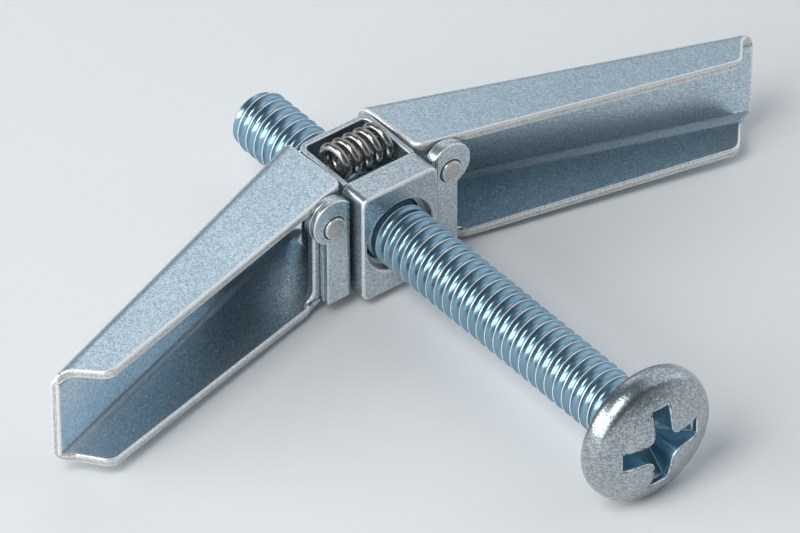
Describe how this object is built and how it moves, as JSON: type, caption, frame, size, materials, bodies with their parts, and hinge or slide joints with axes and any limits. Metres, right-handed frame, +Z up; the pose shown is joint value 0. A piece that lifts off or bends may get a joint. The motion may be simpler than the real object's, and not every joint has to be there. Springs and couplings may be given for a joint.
{
  "type": "spring toggle bolt",
  "caption": "Cross-recess machine screw through a nut block and folded yoke with two spring-loaded channel wings that fold towards the head to pass through a hole.",
  "frame": {"origin": "centre of the flat bearing face under the screw head", "axes": "+Y along the screw towards its tip, +X to the right wing, +Z up as the bolt lies with its wings level"},
  "size_m": [0.0836, 0.0625, 0.0147],
  "materials": {
    "screw_zinc": "bright zinc plate",
    "nut_zinc": "satin zinc plate",
    "yoke_zinc": "satin zinc plate",
    "wing_zinc": "satin blue-white zinc plate",
    "strap_zinc": "satin zinc plate",
    "rivet_nickel": "dull nickel",
    "pin_steel": "plain steel",
    "spring_steel": "oiled spring steel"
  },
  "bodies": {
    "screw_body": {"screw": "screw_zinc"},
    "carrier": {"nut": "nut_zinc", "yoke": "yoke_zinc", "spring": "spring_steel", "hinge_pin_left": "pin_steel", "hinge_pin_right": "pin_steel"},
    "wing_left_body": {"wing_left": "wing_zinc", "hinge_leaf_left": "strap_zinc", "rivet_left": "rivet_nickel"},
    "wing_right_body": {"wing_right": "wing_zinc", "hinge_leaf_right": "strap_zinc", "rivet_right": "rivet_nickel"}
  },
  "joints": [
    {"name": "screw_travel", "type": "slide", "parent": "screw_body", "child": "carrier", "axis": [0, -1, 0], "range_m": [-0.01651, 0.02794]},
    {"name": "wing_left_fold", "type": "hinge", "parent": "carrier", "child": "wing_left_body", "pos_m": [-0.0061, 0.038, 0], "axis": [0, 0, 1], "range_deg": [0, 75], "stiffness_Nm_per_rad": 0.02, "springref_deg": -34.38, "deforming": ["spring"]},
    {"name": "wing_right_fold", "type": "hinge", "parent": "carrier", "child": "wing_right_body", "pos_m": [0.0061, 0.038, 0], "axis": [0, 0, -1], "range_deg": [0, 75], "stiffness_Nm_per_rad": 0.02, "springref_deg": -34.38}
  ]
}
